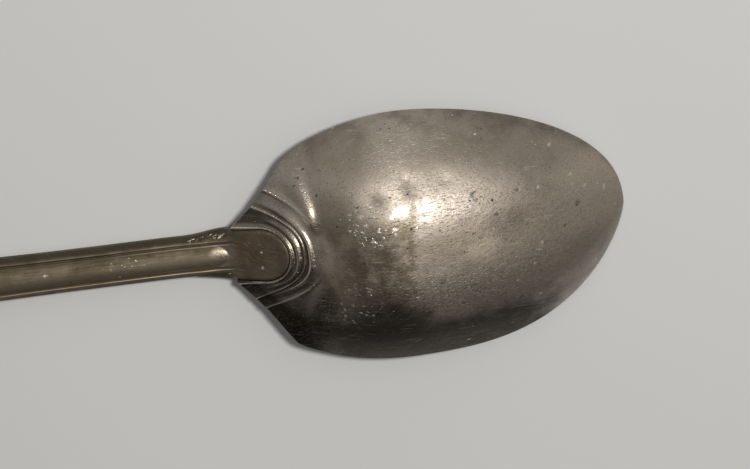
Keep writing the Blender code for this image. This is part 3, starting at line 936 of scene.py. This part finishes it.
class Finish:
    """A material being made: nodes are added one at a time and joined by their sockets."""

    def __init__(self, owner, coordinates="Object"):
        self.owner = owner
        owner.use_nodes = True
        self.tree = owner.node_tree
        self.tree.nodes.clear()
        self.place = self.add("ShaderNodeTexCoord", out=coordinates)

    def add(self, kind, settings=None, sockets=None, out=0):
        """Add a node, set it up, give its sockets their values or links, and hand back one of its outputs."""
        node = self.tree.nodes.new(kind)
        for name, value in (settings or {}).items():
            setattr(node, name, value)
        for name, value in (sockets or {}).items():
            if isinstance(value, Tone):
                self.tree.links.new(value.socket, node.inputs[name])
            else:
                node.inputs[name].default_value = value
        return Tone(self, node.outputs[out]) if node.outputs else None

    def axis(self, letter):
        """How far along one axis a point lies."""
        return self.add("ShaderNodeSeparateXYZ", {}, {"Vector": self.place}, letter)

    def carried(self, name):
        """A value that the mesh carries at its corners."""
        return self.add("ShaderNodeAttribute", {"attribute_name": name}, {}, "Fac")

    def vectors(self, operation, *values, out=0):
        return self.add("ShaderNodeVectorMath", {"operation": operation}, dict(enumerate(values)), out)

    def turned(self, angle, stretch, shift=(0.0, 0.0, 0.0)):
        """The piece's coordinates turned in plan and stretched, for a pattern with a direction."""
        straight = self.add(
            "ShaderNodeMapping",
            {},
            {"Vector": self.place, "Rotation": (0.0, 0.0, angle), "Location": shift},
        )
        return self.add("ShaderNodeMapping", {}, {"Vector": straight, "Scale": stretch})

    def clouds(self, scale, detail=4.0, rough=0.55, place=None):
        return self.add(
            "ShaderNodeTexNoise",
            {},
            {"Vector": place or self.place, "Scale": scale, "Detail": detail, "Roughness": rough},
        )

    def strayed(self, place, scale, detail, far):
        """A place pushed about by noise, for ragged edges."""
        sockets = {"Vector": place, "Scale": scale, "Detail": detail}
        push = self.add("ShaderNodeTexNoise", {}, sockets, "Color")
        return self.vectors("MULTIPLY_ADD", push, far, place)

    def between(self, tone, low, high):
        """0 below low, 1 above high, smooth between; low may be the higher of the two."""
        ends = {"Value": tone, "From Min": min(low, high), "From Max": max(low, high)}
        rising = self.add("ShaderNodeMapRange", {"interpolation_type": "SMOOTHSTEP"}, ends)
        return rising if low < high else 1.0 - rising

    def blend(self, share, one, other):
        """Colour that goes from one to other as share goes from 0 to 1."""
        return self.add("ShaderNodeMix", {"data_type": "RGBA"}, {0: share, 6: one, 7: other}, 2)

    def paint(self, colour, layers):
        """Lay colours over one another, each by its own share."""
        for share, layer in layers:
            colour = self.blend(share, colour, opaque(*layer))
        return colour

    def patch(self, x, y, along, across, place=None):
        """1 at a place on the spoon, fading to 0 at a distance along it and across it."""
        away = self.vectors("SUBTRACT", place or self.place, (x, y, 0.0))
        share = self.vectors("DIVIDE", away, (along, across, 0.1))
        return self.between(self.vectors("LENGTH", share, out="Value"), 1.0, 0.3)

    def marks(self, places):
        """1 on each of the listed spots, ragged at their edges."""
        stray = 0.0012
        place = self.strayed(self.place, 1500.0, 2.0, (stray, stray, 0.0))
        found = None
        for x, y, along, across in places:
            spot = self.patch(x + stray / 2.0, y + stray / 2.0, along, across, place)
            found = spot if found is None else found + spot
        return found

    def flecks(self, size, share, stretch=(1.0, 1.0), angle=0.0, shift=0.0):
        """Small ragged marks: a share of the places about one size apart holds one."""
        wide = (1.0 / (size * stretch[0]), 1.0 / (size * stretch[1]), 1.0 / size)
        place = self.strayed(self.turned(angle, wide, (shift, 0.0, 0.0)), 1.7, 3.0, (0.9, 0.9, 0.9))
        sockets = {"Vector": place, "Scale": 1.0}
        distance = self.add("ShaderNodeTexVoronoi", {}, sockets, "Distance")
        colour = self.add("ShaderNodeTexVoronoi", {}, sockets, "Color")
        chance = self.add("ShaderNodeSeparateColor", {}, {"Color": colour}, "Red")
        smaller = self.add("ShaderNodeSeparateColor", {}, {"Color": colour}, "Green")
        held = self.between(chance, 1.0 - share, 1.0 - 0.9 * share)
        return held * self.between(distance + 0.22 * smaller, 0.40, 0.28)

    def scratches(self, angle, length, width, level, shift):
        """Fine lines in one direction, broken up along their length."""
        place = self.turned(angle, (1.0 / length, 1.0 / width, 1.0 / length), (shift, shift, 0.0))
        return self.between(self.clouds(1.0, 1.0, 0.4, place), level, level + 0.06)

    def end(self, colour, roughness, height, depth, metallic=1.0, polish=0.0, polish_roughness=0.25):
        """Join the finish to its surface; polish is the share of it that still has a thin bright skin."""
        normal = self.add("ShaderNodeBump", {}, {"Strength": 1.0, "Distance": depth, "Height": height})
        shader = self.add(
            "ShaderNodeBsdfPrincipled",
            {},
            {
                "Base Color": colour,
                "Roughness": roughness,
                "Metallic": metallic,
                "Normal": normal,
                "Coat Weight": polish,
                "Coat Roughness": polish_roughness,
            },
        )
        self.add("ShaderNodeOutputMaterial", {}, {"Surface": shader})
        return self.owner


def opaque(red, green, blue):
    return (red, green, blue, 1.0)


def worn_bowl_metal():
    """Old silvery metal with cloudy tarnish, pits, nicks and fine scratches, dark in the heel's grooves, with
    painted highlights on the ribs, the tip and a polished patch, and painted shade along the flanks.
    """
    f = Finish(bpy.data.materials.new("worn_bowl_metal"))
    large = f.clouds(45.0, 3.0)
    middle = f.clouds(190.0, 5.0, 0.62)
    grain = f.clouds(2300.0, 2.0, 0.6)
    dashes = f.clouds(1.0, 2.0, 0.55, f.turned(-0.05, (600.0, 3600.0, 3600.0)))
    mottle = f.clouds(1.0, 4.0, 0.65, f.turned(-0.05, (620.0, 1100.0, 1100.0)))
    x = f.axis("X") + 0.008 * (middle - 0.5)
    y = f.axis("Y") + 0.01 * (large - 0.5)
    hollow = f.carried("hollow")
    groove = f.between(hollow, 0.1, 0.9)
    ridge = f.between(hollow, -0.25, -0.8)
    rings = f.between(x, 0.0775, 0.0745)
    tarnish = f.between(0.6 * middle + 0.4 * large, 0.34, 0.66)
    rubbed = f.between(dashes, 0.56, 0.74)

    # Brighter places: the middle, a polished patch whose brighter colour is partly a painted highlight, a
    # scraped patch, painted light on the tip, and painted highlights on the ribs and along the rings' worn
    # arms
    # Polished patch under the bowl's highlight, its brighter colour partly a painted highlight
    polish_and_highlight_patch = f.patch(0.1040, 0.0112, 0.029, 0.0105)
    middle_bright = f.patch(0.1175, 0.0020, 0.030, 0.0095)
    scraped = f.patch(0.1132, -0.0010, 0.0060, 0.0055) * f.between(middle, 0.36, 0.6)
    # Painted light: lighter colour towards the tip
    tip_painted_light = f.patch(0.1430, 0.0060, 0.016, 0.015) + 0.6 * f.patch(0.1240, -0.0050, 0.022, 0.015)
    # Painted highlight on the heel's ribs
    rib_painted_highlight = f.patch(0.0700, 0.0088, 0.0045, 0.006) + 0.7 * f.patch(0.0745, 0.0015, 0.0040, 0.0075)
    # Worn line on the rings' arms, brightened as painted highlight
    arm_wear_and_highlight = f.patch(0.0580, 0.0079, 0.0110, 0.0030) * f.between(hollow, -0.3, -0.9)

    # The tip's half is darker, the heel's half is stained below the middle, and painted shade darkens both
    # flanks and the low side under the heel
    tip_darkening = f.between(x, 0.090, 0.124)
    stain_edge = x + 0.022 * (middle - 0.5) + 0.012 * (large - 0.5)
    heel_stain = f.between(stain_edge, 0.1000, 0.0940) * f.between(y, 0.0165, 0.006)
    heel_stain = heel_stain * (0.75 + 0.5 * f.between(middle, 0.6, 0.4))
    corner_stain = f.patch(0.0815, 0.0250, 0.013, 0.010) + 0.5 * f.patch(0.1130, 0.0235, 0.017, 0.009)
    shoulder_stain = f.patch(0.0785, 0.0105, 0.0075, 0.009)
    deep_stain = f.patch(0.0880, -0.0010, 0.0100, 0.012) * f.between(middle, 0.66, 0.42)
    smudge = f.patch(0.1213, 0.0041, 0.0095, 0.0042) * f.between(middle, 0.66, 0.42)
    # Painted shade on the low side under the heel and along the low flank
    under_heel_shade = f.patch(0.0668, -0.0112, 0.0085, 0.009)
    low_painted_shade = f.patch(0.0880, -0.0174, 0.0165, 0.0115)
    # Painted shade along the flanks and in dents, with tarnish in the coves and grime on the fronts
    flank_shade_and_grime = f.between(f.carried("grime_and_shade") + 0.5 * (middle - 0.5), 0.15, 0.85)

    # Pits, nicks and scratches
    pit_fields = (
        f.patch(0.0939, 0.0289, 0.0045, 0.0025)
        + f.patch(0.1155, 0.0242, 0.003, 0.002)
        + f.patch(0.1128, 0.0110, 0.0055, 0.003)
        + f.patch(0.1378, 0.0036, 0.0022, 0.002)
        + f.patch(0.0905, 0.0035, 0.004, 0.003)
    )
    pits = f.flecks(0.0009, 0.06, (1.5, 1.0)) * f.between(large, 0.38, 0.6)
    pits = pits + f.flecks(0.0006, 0.5, (1.5, 0.9), 0.3, 0.7) * pit_fields + 0.6 * f.marks(BOWL_PITS)
    nick_field = f.patch(0.0872, 0.0078, 0.0088, 0.0072) + 0.6 * f.patch(0.082, -0.012, 0.009, 0.009)
    nicks = f.flecks(0.0011, 0.7, (1.2, 0.8), 0.5, 1.9) * f.between(nick_field, 0.1, 0.5)
    nicks = nicks + f.flecks(0.001, 0.010, (1.4, 0.7), -0.4, 3.1) + 0.7 * f.marks(BOWL_NICKS)
    pitted = f.patch(0.1175, -0.0040, 0.042, 0.024) * f.between(mottle, 0.54, 0.68)
    lines = f.scratches(0.12, 0.007, 0.0002, 0.70, 0.3) + f.scratches(-0.55, 0.006, 0.00018, 0.71, 1.7)

    fresh = f.blend(tarnish, opaque(0.56, 0.49, 0.41), opaque(0.43, 0.365, 0.295))
    darker_tip_metal = f.blend(tarnish, opaque(0.37, 0.315, 0.255), opaque(0.27, 0.225, 0.18))
    layers = (
        (0.6 * middle_bright, (0.50, 0.42, 0.335)),
        # polished patch, partly painted highlight
        (0.28 * polish_and_highlight_patch, (0.78, 0.70, 0.61)),
        (0.55 * scraped, (0.74, 0.64, 0.52)),
        (0.6 * smudge, (0.17, 0.135, 0.10)),
        # painted light towards the tip
        (0.6 * tip_painted_light, (0.56, 0.475, 0.385)),
        (0.45 * corner_stain, (0.22, 0.18, 0.125)),
        (0.6 * shoulder_stain, (0.22, 0.18, 0.125)),
        (0.75 * heel_stain, (0.23, 0.19, 0.135)),
        (0.55 * deep_stain, (0.07, 0.055, 0.038)),
        # painted shade along the flanks
        (0.93 * flank_shade_and_grime, (0.045, 0.038, 0.03)),
        (0.6 * rubbed, (0.15, 0.122, 0.09)),
        (0.4 * pitted, (0.13, 0.105, 0.078)),
        # painted highlight on the ribs; painted shade under the heel and low down
        (0.6 * rib_painted_highlight, (0.80, 0.69, 0.56)),
        (0.5 * under_heel_shade, (0.05, 0.041, 0.03)),
        (0.75 * low_painted_shade, (0.03, 0.025, 0.018)),
        (0.65 * groove, (0.08, 0.064, 0.045)),
        (0.75 * ridge, (0.70, 0.61, 0.50)),
        # worn arm line, brightened as painted highlight
        (0.8 * arm_wear_and_highlight, (0.90, 0.80, 0.67)),
        (0.35 * lines, (0.70, 0.63, 0.54)),
        (0.85 * pits, (0.05, 0.041, 0.03)),
        (0.9 * nicks, (0.90, 0.85, 0.77)),
    )
    colour = f.paint(f.blend(tip_darkening, fresh, darker_tip_metal), layers)
    roughness = 0.5 + 0.08 * tarnish + 0.45 * (grain - 0.5) - 0.15 * ridge - 0.2 * nicks
    roughness = roughness + 0.1 * pits + 0.15 * groove - 0.24 * rings * (1.0 - groove) + 0.35 * arm_wear_and_highlight
    height = 0.3 * grain + 0.4 * middle + 0.5 * mottle
    height = height - 0.35 * rubbed - 0.8 * pits + 0.3 * nicks - 0.1 * lines
    # Less coat where stained and where painted shade lies low down
    stain_and_shade_share = (1.0 - rings) * (0.6 * heel_stain + 0.3 * shoulder_stain)
    stain_and_shade_share = stain_and_shade_share * (1.0 - low_painted_shade) + 0.8 * low_painted_shade
    polish = (1.0 - rubbed) * (1.0 - stain_and_shade_share) * (1.0 - flank_shade_and_grime) * f.between(grain, 0.15, 0.55)
    return f.end(colour, roughness, height, 0.00012, 1.0, polish, 0.18)


def worn_handle_metal():
    """The same metal rubbed along the handle's length, dark beside the threads and brown on the drop, with
    painted highlights along the field, painted light below it and painted shade above it and on the edge
    bevels.
    """
    f = Finish(bpy.data.materials.new("worn_handle_metal"))
    large = f.clouds(60.0, 3.0)
    middle = f.clouds(240.0, 5.0, 0.6)
    grain = f.clouds(2300.0, 2.0, 0.6)
    rubbed = f.clouds(1.0, 3.0, 0.55, f.turned(0.0, (160.0, 2600.0, 2600.0)))
    x = f.axis("X") + 0.003 * (middle - 0.5)
    y = f.axis("Y")
    hollow = f.carried("hollow")
    groove = f.between(hollow, 0.1, 0.6)
    ridge = f.between(hollow, -0.1, -0.5)
    tarnish = f.between(0.5 * middle + 0.3 * large + 0.2 * rubbed, 0.38, 0.64)

    # Places that differ: the drop, the field's nose and middle with painted highlights, the lower side with
    # painted light and the upper side with painted shade that deepens towards the stem's end, what is near
    # the neck, and the edge bevels with painted shade
    drop = f.between(x, 0.0505, 0.0560)
    # Field's nose: smoother and polished, with brighter colour as painted highlight
    field_nose = f.patch(0.0505, 0.0013, 0.0045, 0.0022)
    # Painted highlight along the field's middle
    field_painted_highlight = f.patch(0.0380, 0.0004, 0.022, 0.0019)
    # Painted light on the lower side and painted shade on the upper side
    lower_side_painted_light = f.between(y, 0.002, -0.001)
    upper_side_painted_shade = f.between(y, 0.0005, 0.0024)
    near_neck = f.between(x, 0.018, 0.044)
    # Where the upper side's painted shade deepens, towards the stem's end
    toward_stem_end = f.between(x, 0.030, 0.008)
    # Painted shade on the edge bevels, with grime on the front
    edge_shade_and_grime = f.between(f.carried("grime_and_shade") + 0.4 * (middle - 0.5), 0.2, 0.8)

    # Pits, nicks and scratches
    pits = f.flecks(0.0009, 0.03, (1.6, 0.9)) * (1.0 - field_nose)
    nicks = f.flecks(0.0011, 0.02, (1.5, 0.7), 0.3, 2.3)
    nicks = nicks + f.flecks(0.0006, 0.4, (1.5, 0.7), 0.1, 4.9) * f.patch(0.0262, 0.0012, 0.009, 0.002)
    nicks = nicks + 0.8 * f.marks(STEM_NICKS)
    crossed = (
        f.scratches(0.75, 0.004, 0.00016, 0.68, 4.1)
        + f.scratches(-0.95, 0.003, 0.00016, 0.69, 5.3)
        + f.scratches(0.2, 0.005, 0.00018, 0.68, 6.7)
    )

    stem_layers = (
        # Painted light below, painted shade above, painted highlight along the field's middle
        (0.45 * lower_side_painted_light, (0.30, 0.25, 0.18)),
        ((0.25 + 0.2 * toward_stem_end) * upper_side_painted_shade, (0.07, 0.055, 0.035)),
        (0.4 * field_painted_highlight, (0.36, 0.30, 0.23)),
    )
    layers = (
        # painted shade on the edge bevels, grime on the front
        (0.8 * edge_shade_and_grime, (0.09, 0.074, 0.054)),
        (0.45 * groove, (0.09, 0.068, 0.045)),
        # Thread crests worn bright, brighter towards the neck as painted highlight
        ((0.1 + 0.7 * near_neck) * ridge, (0.50, 0.42, 0.32)),
        # painted highlight on the field's nose
        (0.6 * field_nose, (0.50, 0.42, 0.33)),
        ((0.15 + 0.2 * drop) * crossed, (0.55, 0.47, 0.38)),
        (0.5 * pits, (0.05, 0.041, 0.03)),
        (0.85 * nicks, (0.86, 0.79, 0.69)),
    )
    stem_metal = f.blend(tarnish, opaque(0.23, 0.187, 0.128), opaque(0.145, 0.115, 0.073))
    drop_metal = f.blend(tarnish, opaque(0.21, 0.165, 0.115), opaque(0.14, 0.107, 0.073))
    colour = f.paint(f.blend(0.85 * drop, f.paint(stem_metal, stem_layers), drop_metal), layers)
    roughness = 0.6 + 0.08 * tarnish + 0.3 * (rubbed - 0.5) + 0.25 * (grain - 0.5) + 0.1 * groove
    roughness = roughness - 0.32 * field_nose - 0.15 * ridge
    height = 0.25 * grain + 0.1 * rubbed - 0.7 * pits - 0.3 * nicks - 0.12 * crossed
    polish = 0.1 + 0.9 * field_nose + 0.6 * near_neck * ridge
    polish = polish * (1.0 - edge_shade_and_grime) * f.between(grain, 0.25, 0.5)
    return f.end(colour, roughness, height, 0.0001, 1.0, polish, 0.2)


def hard_solder():
    """Pale rough solder, broken into flakes with dark between."""
    f = Finish(bpy.data.materials.new("hard_solder"))
    lumps = f.clouds(1400.0, 4.0, 0.6)
    stain = f.clouds(900.0, 3.0)
    colour = f.blend(f.between(stain, 0.42, 0.58), opaque(0.62, 0.54, 0.43), opaque(0.12, 0.097, 0.07))
    return f.end(colour, 0.35 + 0.3 * lumps, lumps, 0.0002)


def pale_table():
    f = Finish(bpy.data.materials.new("pale_table"))
    shade = f.clouds(6.0, 3.0)
    colour = f.blend(shade, opaque(0.66, 0.655, 0.645), opaque(0.70, 0.695, 0.685))
    return f.end(colour, 0.8, shade, 0.00002, 0.0)


def dress(piece, finish, node):
    """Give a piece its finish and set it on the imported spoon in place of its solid."""
    piece.data.materials.clear()
    piece.data.materials.append(finish)
    only(piece)
    bpy.ops.object.shade_smooth_by_angle(angle=SMOOTH_ANGLE)
    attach(piece, "root")
    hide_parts(node)


def area_lamp(name, place, target, size, power, colour):
    data = bpy.data.lights.new(name, "AREA")
    data.shape = "DISK"
    data.size = size
    data.energy = power
    data.color = colour
    lamp = bpy.data.objects.new(name, data)
    lamp.location = place
    lamp.rotation_euler = (Vector(target) - Vector(place)).to_track_quat("-Z", "Y").to_euler()
    bpy.context.scene.collection.objects.link(lamp)


def set_camera():
    """Long lens from above, leaning towards the whole side, with the spoon's axis rising to the right."""
    lean = math.radians(16.0)
    roll = math.radians(6.9)
    distance = 0.78
    focal = 3198.0
    image = Vector((750.0, 469.0))
    drop_pixel = Vector((262.5, 254.0))
    drop_height = 0.0093
    drop_middle = DROP_PLACE + Vector((0.0, 0.0, drop_height))
    ahead = Vector((0.0, -math.sin(lean), -math.cos(lean)))
    level = Vector((1.0, 0.0, 0.0))
    rise = Vector((0.0, math.cos(lean), -math.sin(lean)))
    right = math.cos(roll) * level - math.sin(roll) * rise
    up = math.sin(roll) * level + math.cos(roll) * rise
    off = (drop_pixel - image / 2.0) * distance / focal
    place = drop_middle - distance * ahead - off.x * right + off.y * up
    data = bpy.data.cameras.new("camera")
    data.sensor_width = 36.0
    data.lens = focal * data.sensor_width / image.x
    camera = bpy.data.objects.new("camera", data)
    turn = Matrix((right, up, -ahead)).transposed().to_4x4()
    camera.matrix_world = Matrix.Translation(place) @ turn
    bpy.context.scene.collection.objects.link(camera)
    bpy.context.scene.camera = camera


def set_stage():
    """Pale table, soft light from the whole side and a dim room."""
    bpy.ops.object.select_all(action="DESELECT")
    bpy.ops.mesh.primitive_plane_add(size=4.0)
    table = bpy.context.object
    table.name = "table"
    table.data.materials.append(pale_table())
    room = Finish(bpy.data.worlds.new("room"), "Generated")
    level = 0.05 + 0.31 * room.between(room.axis("Y"), -0.7, 0.35)
    light = room.add("ShaderNodeBackground", {}, {"Color": opaque(1.0, 1.0, 1.0), "Strength": level})
    room.add("ShaderNodeOutputWorld", {}, {"Surface": light})
    bpy.context.scene.world = room.owner
    toward_lamp = Vector((0.208, 0.29, 0.934))
    lit = Vector((0.0951, 0.0103, 0.0227))
    lamp_distance = 0.8
    area_lamp("key", lit + lamp_distance * toward_lamp, lit, size=0.11, power=4.0, colour=(1.0, 0.98, 0.95))
    bpy.context.scene.view_settings.view_transform = "Standard"


set_camera()
set_stage()

bowl = make_bowl()
handle = make_handle()
dress(bowl, worn_bowl_metal(), "bowl")
dress(handle, worn_handle_metal(), "handle")
dress(make_solder(), hard_solder(), "solder")
